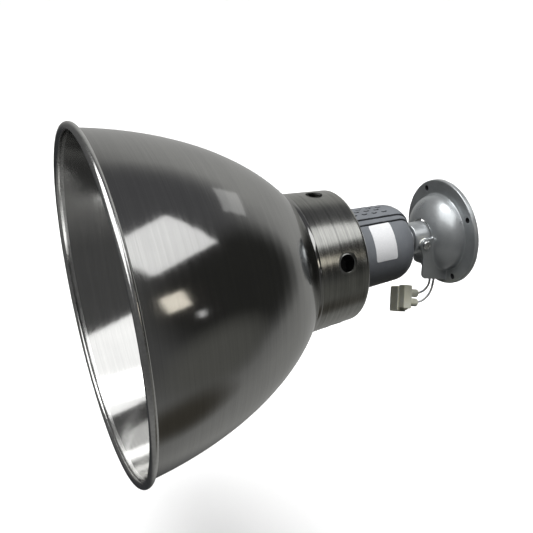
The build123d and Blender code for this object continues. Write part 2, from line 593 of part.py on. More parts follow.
def base_casting():
    plate = disc(-PLATE_THICKNESS, 0, PLATE_RADIUS)
    front_edge = plate.edges().filter_by(GeomType.CIRCLE).sort_by(Axis.X)[0]
    body = fillet(front_edge, PLATE_EDGE) + dome(DOME_HEIGHT, DOME_RADIUS)
    body += cheek(SLOT_HALF_WIDTH, FAR_CHEEK)
    body += cheek(-SLOT_HALF_WIDTH - CHEEK_THICKNESS, NEAR_CHEEK)
    inside = dome(DOME_HEIGHT - DOME_WALL, DOME_RADIUS - DOME_WALL)
    inside += disc(-PLATE_THICKNESS, 0, DOME_RADIUS - DOME_WALL)
    # The hollow stops at the cheeks, which reach down to the plate as ribs.
    for sign in (-1, 1):
        start, end = sorted((sign * SLOT_HALF_WIDTH, sign * (SLOT_HALF_WIDTH + CHEEK_THICKNESS)))
        inside -= block((-DOME_RADIUS, -PLATE_THICKNESS), (start, end), (-PLATE_RADIUS, EAR_RADIUS))
    body -= inside
    reach = -PIVOT_X + STEM_RADIUS
    body -= rod_x(0, TROUGH_HOLE_RISE, -reach, -PLATE_THICKNESS, SLOT_HALF_WIDTH)
    body -= block((-reach, -PLATE_THICKNESS), (-SLOT_HALF_WIDTH, SLOT_HALF_WIDTH),
                  (-PLATE_RADIUS - 1, TROUGH_HOLE_RISE))
    body -= rod_y(PIVOT_X, 0, -DOME_HEIGHT, DOME_HEIGHT, PIVOT_SHANK_RADIUS + 0.1)
    for index in range(4):
        hole = rod_x(PLATE_HOLE_CIRCLE, 0, -PLATE_THICKNESS, 0, PLATE_HOLE_RADIUS)
        body -= about_x(hole, PLATE_HOLE_START + 90 * index)
    body -= rod_x(0, CLAMP_Z, -PLATE_THICKNESS, 0, CLAMP_SCREW_RADIUS)
    return body


# ---- wiring ----------------------------------------------------------------------------------
def stem_nipple():
    return ring(NIPPLE_FRONT_X, NIPPLE_REAR_X, NIPPLE_BORE, NIPPLE_RADIUS)


def stem_locknut():
    rear = HOUSING_REAR_X - HOUSING_WALL
    return hexagon_x(rear - LOCKNUT_THICKNESS, rear, LOCKNUT_ACROSS_FLATS, NIPPLE_RADIUS)


def inner_leads():
    """The two leads from the terminal blocks, through the nipple and past the pivot screw."""
    leads = []
    for sign in (-1, 1):
        route = [(INSERT_REAR_X + 4.5, 0, TERMINAL_OFFSET), (-62.5, 0, TERMINAL_OFFSET - 0.2),
                 (-57.5, 0, 6.5), (-54.0, 0, 2.6), (-44.0, 0, 2.2), (-34.2, 0, 2.3), (-28.8, 0, 4.9), (-23.5, 0, 4.8)]
        route = [(x, y, sign * z) for x, y, z in route]
        leads.append(lead(route, "inner lead"))
    return leads


def lead_clamp():
    """A saddle that holds both supply leads down on the trough's floor."""
    top = -PLATE_THICKNESS - CLAMP_HEIGHT
    half = CLAMP_LENGTH / 2
    channel = LEAD_RADIUS + 0.15
    z_range = (CLAMP_Z - half, CLAMP_Z + half)
    body = block((top, -PLATE_THICKNESS), (-CLAMP_HALF_WIDTH, CLAMP_HALF_WIDTH), z_range)
    body = fillet(body.edges().filter_by(Axis.Z).sort_by(Axis.X)[:2], 1.5)
    for sign in (-1, 1):
        y = sign * LEAD_SPACING
        body -= block((top + 1.5, -PLATE_THICKNESS), (y - channel, y + channel), z_range)
    return body - rod_x(0, CLAMP_Z, top, -PLATE_THICKNESS, CLAMP_SCREW_RADIUS)


def lead_clamp_screw():
    top = -PLATE_THICKNESS - CLAMP_HEIGHT
    head_top = top - CLAMP_HEAD_HEIGHT
    head = rod_x(0, CLAMP_Z, head_top, top, CLAMP_HEAD_RADIUS)
    head = fillet(head.edges().filter_by(GeomType.CIRCLE).sort_by(Axis.X)[0], 0.9)
    screw = head + rod_x(0, CLAMP_Z, top, -1.0, CLAMP_SCREW_RADIUS)
    for half_y, half_z in ((1.3, 0.3), (0.3, 1.3)):
        screw -= block((head_top, head_top + 1.0), (-half_y, half_y), (CLAMP_Z - half_z, CLAMP_Z + half_z))
    return screw


def connector_plane():
    return Plane(origin=CONNECTOR_MIDDLE, x_dir=CONNECTOR_AXIS, z_dir=CONNECTOR_FACE)


def silo_rod(side, x_start, x_end, radius):
    """A cylinder along one silo, in the connector's own frame, where x is 0 at the silo's mouth."""
    plane = Plane(origin=(x_start, side * SILO_SPACING, 0), x_dir=(0, 1, 0), z_dir=(1, 0, 0))
    return extrude(plane * Circle(radius), amount=x_end - x_start)


def connector_housing():
    """A two-way connector: a smooth front half, a deeper stepped back half, a latch and two silos."""
    front = block((-SILO_LENGTH - FRONT_DEPTH, -SILO_LENGTH), (-10, 10), (-2, 5))
    front = fillet(front.edges().filter_by(Axis.Z), 0.8)
    back = block((-SILO_LENGTH - BACK_DEPTH, -SILO_LENGTH), (-12.5, 9), (-12, -2))
    back = fillet(back.edges().filter_by(Axis.X), 1.0)
    latch = block((2 - SILO_LENGTH - FRONT_DEPTH, -SILO_LENGTH - 2), (-11.2, -10), (-2, 3))
    body = front + back + latch
    for side in (-1, 1):
        body += silo_rod(side, -SILO_LENGTH, 0, SILO_RADIUS)
    for side in (-1, 1):
        body -= silo_rod(side, -CONTACT_DEPTH, 0, SILO_BORE)
    return connector_plane() * body


def connector_contacts():
    return [connector_plane() * silo_rod(side, -CONTACT_DEPTH, -LEAD_DEPTH, SILO_BORE) for side in (-1, 1)]


def supply_lead_a():
    return lead(SUPPLY_ROUTES["supply_lead_a"], "supply lead a")


def supply_lead_b():
    return lead(SUPPLY_ROUTES["supply_lead_b"], "supply lead b")


SHAPES = {
    "reflector_shade": reflector_shade,
    "vented_collar": vented_collar,
    "holder_housing": holder_housing,
    "rating_sticker": rating_sticker,
    "ceramic_insert": ceramic_insert,
    "screw_shell": screw_shell,
    "centre_contact": centre_contact,
    "contact_screws": contact_screws,
    "terminal_blocks": terminal_blocks,
    "terminal_screws": terminal_screws,
    "insert_screws": insert_screws,
    "shade_ring": shade_ring,
    "swivel_stem": swivel_stem,
    "stem_nipple": stem_nipple,
    "stem_locknut": stem_locknut,
    "inner_leads": inner_leads,
    "base_casting": base_casting,
    "pivot_screw": pivot_screw,
    "pivot_washers": pivot_washers,
    "pivot_spring_washer": pivot_spring_washer,
    "pivot_nut": pivot_nut,
    "lead_clamp": lead_clamp,
    "lead_clamp_screw": lead_clamp_screw,
    "supply_lead_a": supply_lead_a,
    "supply_lead_b": supply_lead_b,
    "connector_housing": connector_housing,
    "connector_contacts": connector_contacts,
}

os.makedirs("parts", exist_ok=True)
for name, make in SHAPES.items():
    made = make()
    write(name, *(made if isinstance(made, list) else [made]))
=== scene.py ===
import math

import bmesh
import bpy
from mathutils import Matrix, Vector, noise


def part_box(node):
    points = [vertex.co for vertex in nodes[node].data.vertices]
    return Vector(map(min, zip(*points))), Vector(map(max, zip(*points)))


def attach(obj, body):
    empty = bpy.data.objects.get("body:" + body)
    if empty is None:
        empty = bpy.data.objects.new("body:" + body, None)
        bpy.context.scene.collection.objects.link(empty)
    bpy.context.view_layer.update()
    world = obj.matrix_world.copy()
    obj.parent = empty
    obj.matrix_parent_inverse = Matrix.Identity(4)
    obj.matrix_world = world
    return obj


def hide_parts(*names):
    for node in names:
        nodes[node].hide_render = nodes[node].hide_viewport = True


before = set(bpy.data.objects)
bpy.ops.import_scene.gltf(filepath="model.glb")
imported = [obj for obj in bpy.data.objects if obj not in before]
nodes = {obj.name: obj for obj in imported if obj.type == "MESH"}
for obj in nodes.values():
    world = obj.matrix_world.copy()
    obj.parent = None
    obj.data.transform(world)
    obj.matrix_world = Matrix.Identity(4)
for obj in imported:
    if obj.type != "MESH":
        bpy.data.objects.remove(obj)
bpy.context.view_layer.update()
scene = bpy.context.scene
MM = 0.001

# ---- camera ----------------------------------------------------------------------------------
FORWARD = Vector((0.3798, 0.8027, -0.4598)).normalized()
RIGHT = FORWARD.cross(Vector((0, 0, 1))).normalized()
UP = RIGHT.cross(FORWARD)

camera = bpy.data.objects.new("camera", bpy.data.cameras.new("camera"))
scene.collection.objects.link(camera)
turn = Matrix((RIGHT, UP, -FORWARD)).transposed()
camera.matrix_world = Matrix.Translation((-0.3631, -0.4206, 0.2438)) @ turn.to_4x4()
camera.data.lens = 47.28
camera.data.sensor_width = 36.0
camera.data.clip_start = 0.02
camera.data.clip_end = 50.0
scene.camera = camera


# ---- node helpers ----------------------------------------------------------------------------
class Nodes:
    """Short calls for building one material's nodes."""

    def __init__(self, name):
        self.material = bpy.data.materials.new(name)
        self.material.use_nodes = True
        self.tree = self.material.node_tree
        self.shader = self.tree.nodes["Principled BSDF"]
        self.coordinates = self.add("ShaderNodeTexCoord").outputs["Object"]

    def add(self, kind, **settings):
        node = self.tree.nodes.new(kind)
        for key, value in settings.items():
            setattr(node, key, value)
        return node

    def join(self, source, target):
        self.tree.links.new(source, target)

    def put(self, target, value):
        if isinstance(value, bpy.types.NodeSocket):
            self.join(value, target)
        else:
            target.default_value = value

    def math(self, operation, first, second=0.0, third=0.0):
        node = self.add("ShaderNodeMath", operation=operation)
        for socket, value in zip(node.inputs, (first, second, third)):
            self.put(socket, value)
        return node.outputs[0]

    def vector(self, operation, first, second=None):
        node = self.add("ShaderNodeVectorMath", operation=operation)
        self.put(node.inputs[0], first)
        if second is not None:
            self.put(node.inputs[1], second)
        return node.outputs[0]

    def stretched(self, scales):
        return self.vector("MULTIPLY", self.coordinates, scales)

    def noise(self, vector, scale, detail=3.0, roughness=0.5):
        node = self.add("ShaderNodeTexNoise")
        self.put(node.inputs["Vector"], vector)
        node.inputs["Scale"].default_value = scale
        node.inputs["Detail"].default_value = detail
        node.inputs["Roughness"].default_value = roughness
        return node.outputs["Fac"]

    def spread(self, value, low, high, start=0.3, end=0.7):
        node = self.add("ShaderNodeMapRange")
        self.put(node.inputs["Value"], value)
        node.inputs["From Min"].default_value = start
        node.inputs["From Max"].default_value = end
        node.inputs["To Min"].default_value = low
        node.inputs["To Max"].default_value = high
        return node.outputs["Result"]

    def ramp(self, value, *stops):
        node = self.add("ShaderNodeValToRGB")
        self.put(node.inputs["Fac"], value)
        elements = node.color_ramp.elements
        while len(elements) < len(stops):
            elements.new(0.5)
        for element, (place, colour) in zip(elements, stops):
            element.position = place
            element.color = (*colour, 1.0)
        return node.outputs["Color"]

    def bump(self, *layers):
        """Stacks (height, distance in metres) layers onto the shader's normal."""
        normal = None
        for height, distance in layers:
            node = self.add("ShaderNodeBump")
            node.inputs["Strength"].default_value = 1.0
            node.inputs["Distance"].default_value = distance
            self.join(height, node.inputs["Height"])
            if normal is not None:
                self.join(normal, node.inputs["Normal"])
            normal = node.outputs["Normal"]
        self.join(normal, self.shader.inputs["Normal"])

    def around_x(self, turns, length_scale):
        """Coordinates that run smoothly round the lamp's axis, and quickly along its surface."""
        parts = self.add("ShaderNodeSeparateXYZ")
        self.join(self.coordinates, parts.inputs[0])
        x, y, z = parts.outputs
        squares = self.math("ADD", self.math("MULTIPLY", y, y), self.math("MULTIPLY", z, z))
        radius = self.math("SQRT", squares)
        safe = self.math("MAXIMUM", radius, 1e-5)
        joined = self.add("ShaderNodeCombineXYZ")
        self.join(self.math("MULTIPLY", self.math("DIVIDE", y, safe), turns), joined.inputs[0])
        self.join(self.math("MULTIPLY", self.math("DIVIDE", z, safe), turns), joined.inputs[1])
        self.join(self.math("MULTIPLY", self.math("SUBTRACT", x, radius), length_scale), joined.inputs[2])
        return joined.outputs[0]


# ---- materials -------------------------------------------------------------------------------
def turned_metal(name, dark, light, rough_low, rough_high, anisotropy, line_depth, dent_depth):
    """Aluminium with fine lines round the axis, cloudy polish and a few scuffs."""
    n = Nodes(name)
    fine = n.noise(n.around_x(0.6, 2600.0), 1.0, 2.0)
    broad = n.noise(n.around_x(1.2, 420.0), 1.0, 3.0)
    cloud = n.noise(n.coordinates, 22.0, 4.0, 0.6)
    scuff = n.noise(n.coordinates, 160.0, 5.0, 0.7)
    lines = n.math("ADD", n.math("MULTIPLY", fine, 0.55), n.math("MULTIPLY", broad, 0.45))
    mixed = n.math("ADD", n.math("MULTIPLY", lines, 0.6), n.math("MULTIPLY", cloud, 0.4))
    n.join(n.ramp(mixed, (0.35, dark), (0.62, light)), n.shader.inputs["Base Color"])
    worn = n.math("ADD", n.math("MULTIPLY", lines, 0.5),
                  n.math("ADD", n.math("MULTIPLY", cloud, 0.35), n.math("MULTIPLY", scuff, 0.15)))
    n.join(n.spread(worn, rough_low, rough_high), n.shader.inputs["Roughness"])
    n.shader.inputs["Metallic"].default_value = 1.0
    n.shader.inputs["Anisotropic"].default_value = anisotropy
    tangent = n.add("ShaderNodeTangent", direction_type="RADIAL", axis="X")
    n.join(tangent.outputs[0], n.shader.inputs["Tangent"])
    n.bump((lines, line_depth), (cloud, dent_depth))
    return n.material


def plain_metal(name, dark, light, rough_low, rough_high, grain=900.0, depth=0.00001):
    n = Nodes(name)
    speck = n.noise(n.coordinates, grain, 4.0, 0.6)
    cloud = n.noise(n.coordinates, grain * 0.12, 3.0)
    mixed = n.math("ADD", n.math("MULTIPLY", speck, 0.5), n.math("MULTIPLY", cloud, 0.5))
    n.join(n.ramp(mixed, (0.36, dark), (0.62, light)), n.shader.inputs["Base Color"])
    n.join(n.spread(mixed, rough_low, rough_high), n.shader.inputs["Roughness"])
    n.shader.inputs["Metallic"].default_value = 1.0
    n.bump((speck, depth))
    return n.material


def silver_paint():
    """Sprayed silver paint on a casting: fine flake, slight orange peel, a little dirt in patches."""
    n = Nodes("silver_paint")
    flake = n.noise(n.coordinates, 2600.0, 2.0, 0.7)
    peel = n.noise(n.coordinates, 420.0, 2.0)
    cloud = n.noise(n.coordinates, 45.0, 4.0, 0.55)
    mixed = n.math("ADD", n.math("MULTIPLY", flake, 0.45), n.math("MULTIPLY", cloud, 0.55))
    silver = n.ramp(mixed, (0.34, (0.38, 0.40, 0.41)), (0.64, (0.53, 0.55, 0.56)))
    n.join(silver, n.shader.inputs["Base Color"])
    n.join(n.spread(cloud, 0.27, 0.36), n.shader.inputs["Roughness"])
    n.shader.inputs["Metallic"].default_value = 0.75
    n.bump((peel, 0.00003), (flake, 0.000006))
    return n.material


def moulded(name, dark, light, rough_low, rough_high, depth=0.00002, grain=1500.0, subsurface=0.0,
            gloss=0.5):
    """Moulded plastic with a fine spark-eroded grain and faint flow marks."""
    n = Nodes(name)
    grains = n.noise(n.coordinates, grain, 3.0, 0.6)
    cloud = n.noise(n.coordinates, 60.0, 4.0, 0.6)
    mixed = n.math("ADD", n.math("MULTIPLY", grains, 0.35), n.math("MULTIPLY", cloud, 0.65))
    n.join(n.ramp(mixed, (0.36, dark), (0.64, light)), n.shader.inputs["Base Color"])
    n.join(n.spread(mixed, rough_low, rough_high), n.shader.inputs["Roughness"])
    n.shader.inputs["Specular IOR Level"].default_value = gloss
    if subsurface:
        n.shader.inputs["Subsurface Weight"].default_value = subsurface
        n.shader.inputs["Subsurface Radius"].default_value = (1.0, 0.9, 0.6)
        n.shader.inputs["Subsurface Scale"].default_value = 0.002
    n.bump((grains, depth))
    return n.material


def paper():
    n = Nodes("sticker_paper")
    fibre = n.noise(n.stretched((1.0, 1.0, 3.0)), 700.0, 4.0, 0.6)
    white = n.ramp(fibre, (0.3, (0.50, 0.51, 0.52)), (0.7, (0.58, 0.58, 0.59)))
    n.join(white, n.shader.inputs["Base Color"])
    n.join(n.spread(fibre, 0.32, 0.45), n.shader.inputs["Roughness"])
    n.bump((fibre, 0.000008))
    return n.material


LOOKS = {
    "bell": turned_metal("spun_aluminium", (0.42, 0.42, 0.415), (0.50, 0.50, 0.49), 0.06, 0.15, 0.15,
                         0.000002, 0.00008),
    # A lighter copy of the aluminium: painted highlight on the rolled rim and on the vent hole walls.
    "bead": plain_metal("rim_painted_highlight", (0.62, 0.62, 0.61), (0.78, 0.78, 0.77), 0.14, 0.26, 500.0, 0.000008),
    "collar": turned_metal("brushed_collar", (0.255, 0.26, 0.25), (0.51, 0.51, 0.485), 0.12, 0.24, 0.6,
                           0.000008, 0.00006),
    "grey": moulded("grey_housing", (0.105, 0.112, 0.122), (0.135, 0.143, 0.154), 0.40, 0.52,
                    gloss=0.2),
    # A near-black copy of the grey moulding: painted shade for the grooves, the sunken marks and the plate's
    # screw holes.
    "recess": moulded("grey_recess", (0.016, 0.017, 0.019), (0.028, 0.029, 0.032), 0.5, 0.6, gloss=0.1),
    "silver": silver_paint(),
    "zinc": plain_metal("zinc_steel", (0.60, 0.61, 0.61), (0.82, 0.82, 0.80), 0.16, 0.30),
    "nylon": moulded("natural_nylon", (0.66, 0.66, 0.60), (0.76, 0.76, 0.70), 0.30, 0.42, subsurface=0.3),
    "ivory": moulded("ivory_nylon", (0.56, 0.56, 0.46), (0.68, 0.68, 0.58), 0.30, 0.44, subsurface=0.25),
    "black": moulded("black_plastic", (0.018, 0.018, 0.019), (0.035, 0.035, 0.036), 0.35, 0.5),
    "ring": moulded("ring_plastic", (0.020, 0.020, 0.021), (0.045, 0.045, 0.046), 0.38, 0.52),
    "silicone": moulded("lead_silicone", (0.74, 0.74, 0.71), (0.84, 0.84, 0.81), 0.38, 0.5,
                        subsurface=0.15),
    "ceramic": moulded("steatite", (0.74, 0.73, 0.67), (0.84, 0.83, 0.78), 0.3, 0.5, 0.00003, 1100.0),
    "brass": plain_metal("socket_brass", (0.52, 0.38, 0.17), (0.74, 0.58, 0.30), 0.2, 0.36),
    "tin": plain_metal("tinned_brass", (0.56, 0.54, 0.46), (0.74, 0.72, 0.62), 0.22, 0.36),
    "paper": paper(),
}

NODE_LOOKS = {
    "reflector_shade": "bell", "vented_collar": "collar", "holder_housing": "grey",
    "rating_sticker": "paper", "ceramic_insert": "ceramic", "screw_shell": "brass",
    "centre_contact": "brass", "contact_screws": "zinc", "terminal_blocks": "brass",
    "terminal_screws": "zinc", "insert_screws": "zinc", "shade_ring": "ring", "swivel_stem": "silver",
    "stem_nipple": "zinc", "stem_locknut": "zinc", "inner_leads": "silicone", "base_casting": "silver",
    "pivot_screw": "zinc", "pivot_washers": "nylon", "pivot_spring_washer": "zinc", "pivot_nut": "zinc",
    "lead_clamp": "black", "lead_clamp_screw": "zinc", "supply_lead_a": "silicone",
    "supply_lead_b": "silicone", "connector_housing": "ivory", "connector_contacts": "tin",
}
for node_name, look in NODE_LOOKS.items():
    mesh = nodes[node_name].data
    mesh.materials.clear()
    mesh.materials.append(LOOKS[look])


# ---- piece helpers ---------------------------------------------------------------------------
SHARP_EDGE = math.radians(35)  # edges that turn by less are shaded smooth


def around(x, radius, angle):
    """A point in metres, from x and radius in millimetres; 0 radians is +Y and a quarter turn is +Z."""
    return Vector((x, radius * math.cos(angle), radius * math.sin(angle))) * MM


def stitch(shape, first, second, closed=True):
    """Faces between two rows of the same number of vertices."""
    count = len(first)
    faces = []
    for step in range(count if closed else count - 1):
        after = (step + 1) % count
        faces.append(shape.faces.new((first[step], first[after], second[after], second[step])))
    return faces


def lathe(shape, profile, angles, wobble=None):
    """A closed outline of (x, radius) points turned about X, through the given angles in radians."""
    rows = []
    for x, radius in profile:
        row = []
        for angle in angles:
            extra = wobble(x, radius, angle) if wobble else 0.0
            row.append(shape.verts.new(around(x, radius + extra, angle)))
        rows.append(row)
    for first, second in zip(rows, rows[1:] + rows[:1]):
        stitch(shape, first, second)
    return rows


def full_turn(count, start=0.0):
    return [start + 2 * math.pi * step / count for step in range(count)]


def arc_points(centre_x, centre_radius, size, start, end, count):
    """Points on an arc in the outline's plane; angles in degrees, 0 along +X and 90 outwards."""
    points = []
    for step in range(count + 1):
        angle = math.radians(start + (end - start) * step / count)
        points.append((centre_x + size * math.cos(angle), centre_radius + size * math.sin(angle)))
    return points


def piece(name, shape, body, look, replaced):
    """Turns a bmesh into a finished piece on a body, and hides the nodes it stands for."""
    bmesh.ops.remove_doubles(shape, verts=shape.verts, dist=1e-7)
    bmesh.ops.recalc_face_normals(shape, faces=shape.faces)
    mesh = bpy.data.meshes.new(name)
    for face in shape.faces:
        face.smooth = True
    for edge in shape.edges:
        edge.smooth = len(edge.link_faces) == 2 and edge.calc_face_angle(0.0) < SHARP_EDGE
    shape.to_mesh(mesh)
    shape.free()
    looks = look if isinstance(look, (list, tuple)) else [look]
    for key in looks:
        mesh.materials.append(LOOKS[key])
    made = bpy.data.objects.new(name, mesh)
    scene.collection.objects.link(made)
    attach(made, body)
    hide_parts(*replaced)


# ---- the reflector ---------------------------------------------------------------------------
SHEET = 1.2
BELL_LENGTH, BELL_HEIGHT, BELL_CENTRE = 202.3, 123.2, -329.5     # the bell's outline is half an ellipse
low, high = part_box("reflector_shade")
RIM_RADIUS = high.z / MM
LIP_END = high.x / MM
BEAD = 2.75
RIM_X = low.x / MM + BEAD
low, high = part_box("vented_collar")
COLLAR_FRONT, COLLAR_REAR, COLLAR_RADIUS = low.x / MM, high.x / MM, 54.1


def bell_wall(inset, small, large, count):
    """Points on the bell's outline drawn in by inset, from the small radius to the large one."""
    length, height = BELL_LENGTH - inset, BELL_HEIGHT - inset
    start, end = math.asin(small / height), math.asin(large / height)
    points = []
    for step in range(count + 1):
        angle = start + (end - start) * step / count
        points.append((BELL_CENTRE + length * math.cos(angle), height * math.sin(angle)))
    return points


def rim_height(inset):
    share = (RIM_X - BELL_CENTRE) / (BELL_LENGTH - inset)
    return (BELL_HEIGHT - inset) * math.sqrt(1 - share * share)


def spun(x, radius, angle):
    """The slight waviness that hand spinning leaves, none at the rim and the lip."""
    place = around(x, radius, angle) * 14.0
    depth = min(1.0, max(0.0, (118.0 - radius) / 20.0), max(0.0, (radius - 56.0) / 10.0))
    rings = 0.012 * math.sin((x - radius) * 0.55)
    return depth * (0.10 * noise.noise(place) + 0.04 * noise.noise(place * 2.7) + rings)


shape = bmesh.new()
inner_wall = bell_wall(SHEET, COLLAR_RADIUS, rim_height(SHEET) - 0.05, 110)
bead_roll = arc_points(RIM_X, RIM_RADIUS - BEAD, BEAD, -95, -392, 40)
outer_wall = bell_wall(0.0, COLLAR_RADIUS + SHEET, rim_height(0.0) - 0.35, 110)[::-1]
lip = [(LIP_END - 0.5, COLLAR_RADIUS + SHEET + 0.05), (LIP_END - 0.15, COLLAR_RADIUS + SHEET - 0.1),
       (LIP_END, COLLAR_RADIUS + SHEET - 0.4), (LIP_END, COLLAR_RADIUS + 0.1)]
lathe(shape, inner_wall + bead_roll + [(RIM_X + 1.7, rim_height(0.0) + 0.75)] + outer_wall + lip,
      full_turn(360), spun)
# The rolled rim's faces take the lighter metal, a painted highlight.
for face in shape.faces:
    middle = face.calc_center_median() / MM
    if middle.x < RIM_X + BEAD + 0.3 and middle.yz.length > RIM_RADIUS - 2 * BEAD - 0.4:
        face.material_index = 1
piece("reflector_bell", shape, "lamp", ["bell", "bead"], ["reflector_shade"])


# ---- the vented collar -----------------------------------------------------------------------
VENTS, VENT_RADIUS, VENT_X, VENT_START = 5, 6.25, -123.7, math.radians(158.5)
COLLAR_STRAIGHT_END, COLLAR_CORNER, COLLAR_OPENING = LIP_END, 3.0, 21.6
CORNER_X = COLLAR_REAR - COLLAR_CORNER
COLLAR_REAR_RADIUS = 51.3
STEPS = 60                    # grid steps from one vent to the next
HALF_PATCH = 10               # grid steps from a vent's middle to the edge of its patch


def collar_radius(x):
    share = max(0.0, (x - COLLAR_STRAIGHT_END) / (CORNER_X - COLLAR_STRAIGHT_END))
    return COLLAR_RADIUS + share * (COLLAR_REAR_RADIUS - COLLAR_RADIUS)


def collar_point(x, angle, depth):
    return around(x, collar_radius(x) - depth, angle)


def vent_point(vent_angle, turn_angle, size, depth):
    """A point at a distance from a vent's axis, on the collar's wall or below it by depth."""
    x = VENT_X + size * math.cos(turn_angle)
    wall = collar_radius(x) - depth
    return around(x, wall, vent_angle + math.asin(size * math.sin(turn_angle) / wall))


def collar_skin(shape, depth, rings):
    """One skin of the collar's tube, with a round patch of rings about each vent; gives the end rows."""
    step_angle = 2 * math.pi / (VENTS * STEPS)
    half = HALF_PATCH * step_angle * collar_radius(VENT_X)
    columns = [VENT_START + step * step_angle for step in range(VENTS * STEPS)]
    before = [COLLAR_FRONT + (VENT_X - half - COLLAR_FRONT) * step / 14 for step in range(14)]
    middle = [VENT_X - half + half * step / HALF_PATCH for step in range(2 * HALF_PATCH + 1)]
    after = [VENT_X + half + (CORNER_X - VENT_X - half) * step / 5 for step in range(1, 6)]
    stations = before + middle + after
    grid = [[shape.verts.new(collar_point(x, angle, depth)) for angle in columns] for x in stations]
    first = len(before)
    for row in range(len(stations) - 1):
        for column in range(len(columns)):
            offset = (column + HALF_PATCH) % STEPS
            if first <= row < first + 2 * HALF_PATCH and offset < 2 * HALF_PATCH:
                continue
            after_column = (column + 1) % len(columns)
            shape.faces.new((grid[row][column], grid[row][after_column],
                             grid[row + 1][after_column], grid[row + 1][column]))
    edges = []
    for vent in range(VENTS):
        angle = VENT_START + vent * 2 * math.pi / VENTS
        middle_column = vent * STEPS
        side = list(range(-HALF_PATCH, HALF_PATCH))
        border = [(-HALF_PATCH, step) for step in side] + [(step, HALF_PATCH) for step in side]
        border += [(HALF_PATCH, -step) for step in side] + [(-step, -HALF_PATCH) for step in side]
        outline = [grid[first + HALF_PATCH + row][(middle_column + column) % len(columns)]
                   for row, column in border]
        turns = [math.atan2(column, row) for row, column in border]
        previous = outline
        for share in (0.25, 0.5, 0.75, 1.0):
            current = []
            for (row, column), turn_angle in zip(border, turns):
                square_x = VENT_X + row * half / HALF_PATCH
                square_angle = angle + column * step_angle
                size = rings[0][0]
                x = square_x + share * (VENT_X + size * math.cos(turn_angle) - square_x)
                wall = collar_radius(x) - depth
                round_angle = angle + math.asin(size * math.sin(turn_angle) / wall)
                place_angle = square_angle + share * (round_angle - square_angle)
                current.append(shape.verts.new(around(x, wall, place_angle)))
            stitch(shape, previous, current)
            previous = current
        for size, ring_depth in rings[1:]:
            current = [shape.verts.new(vent_point(angle, turn_angle, size, ring_depth))
                       for turn_angle in turns]
            stitch(shape, previous, current)
            previous = current
        edges.append(previous)
    return grid[0], grid[-1], edges


shape = bmesh.new()
# The punch rolls the outer edge in slightly and leaves a raised burr; the hole walls get the lighter rim
# metal as a painted highlight.
outer_rings = [(VENT_RADIUS + 0.75, 0.0), (VENT_RADIUS + 0.45, -0.10), (VENT_RADIUS + 0.2, -0.16),
               (VENT_RADIUS + 0.04, -0.08), (VENT_RADIUS, 0.12)]
outer_front, outer_rear, outer_edges = collar_skin(shape, 0.0, outer_rings)
inner_front, inner_rear, inner_edges = collar_skin(shape, SHEET, [(VENT_RADIUS, SHEET)])
stitch(shape, outer_front, inner_front)
# The vent hole walls take the lighter metal, a painted highlight.
for outer_edge, inner_edge in zip(outer_edges, inner_edges):
    for face in stitch(shape, outer_edge, inner_edge):
        face.material_index = 1
angles = full_turn(VENTS * STEPS, VENT_START)
corner = arc_points(CORNER_X, COLLAR_REAR_RADIUS - COLLAR_CORNER, COLLAR_CORNER, 90, 0, 8)[1:]
wall_radius = COLLAR_REAR_RADIUS - COLLAR_CORNER
rear_wall = [(COLLAR_REAR, wall_radius + (COLLAR_OPENING - wall_radius) * step / 8) for step in range(1, 9)]
rear_wall += [(COLLAR_REAR - SHEET, radius) for x, radius in rear_wall[::-1]]
rear_wall += [(COLLAR_REAR - SHEET, wall_radius)]
inner_corner = arc_points(CORNER_X, wall_radius, COLLAR_CORNER - SHEET, 0, 90, 6)[1:-1]
previous = outer_rear
for x, radius in corner + rear_wall + inner_corner:
    current = [shape.verts.new(around(x, radius, angle)) for angle in angles]
    stitch(shape, previous, current)
    previous = current
stitch(shape, previous, inner_rear)
piece("collar_tube", shape, "lamp", ["collar", "bead"], ["vented_collar"])


# ---- castings, mouldings and small parts -----------------------------------------------------
def softened(name, body, voxel, passes):
    """A copy of a node with its edges rounded off as casting or moulding leaves them; voxel in mm."""
    source = nodes[name]
    mesh = source.data.copy()
    mesh.transform(source.matrix_world)
    made = bpy.data.objects.new(name + "_soft", mesh)
    scene.collection.objects.link(made)
    fine = made.modifiers.new("fine", "REMESH")
    fine.mode = "VOXEL"
    fine.voxel_size = voxel * MM
    fine.use_smooth_shade = True
    round_off = made.modifiers.new("round_off", "SMOOTH")
    round_off.factor = 0.5
    round_off.iterations = passes
    finished = bpy.data.meshes.new_from_object(made.evaluated_get(bpy.context.evaluated_depsgraph_get()))
    made.modifiers.clear()
    made.data = finished
    finished.materials.clear()
    finished.materials.append(LOOKS[NODE_LOOKS[name]])
    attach(made, body)
    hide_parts(name)
    return made


# The housing tapers from its lip; a raised band with two steps at each side runs along its top.
HOUSING_LIP, HOUSING_LIP_RADIUS = -102.2, 31.9
HOUSING_TAPER = -1.9 / 43.4   # change of radius for each millimetre of x
HOUSING_MARGIN = 0.7          # the dressing starts this far behind the lip
SHOULDER_END = -46.0          # and ends here, on the rounded shoulder
INNERMOST = 20.0              # radius below which the housing is left alone
BAND_MIDDLE = 75.0            # degrees about X, from +Y towards +Z
BAND_RISE = 1.8
MARKS_HALF_ANGLE, MARKS_END = 31.0, -60.0
SHALLOWEST_MARK = 0.16
GROOVES = (34.0, 43.0)        # the steps at the band's sides, in degrees from its middle
GROOVE_DEPTH, GROOVE_WIDTH = 0.5, 0.55


def housing_radius(x):
    return HOUSING_LIP_RADIUS + HOUSING_TAPER * (x - HOUSING_LIP)


def off_middle(co):
    """Degrees round the housing from the middle of the band."""
    return abs(math.degrees(math.atan2(co.z, co.y)) - BAND_MIDDLE)


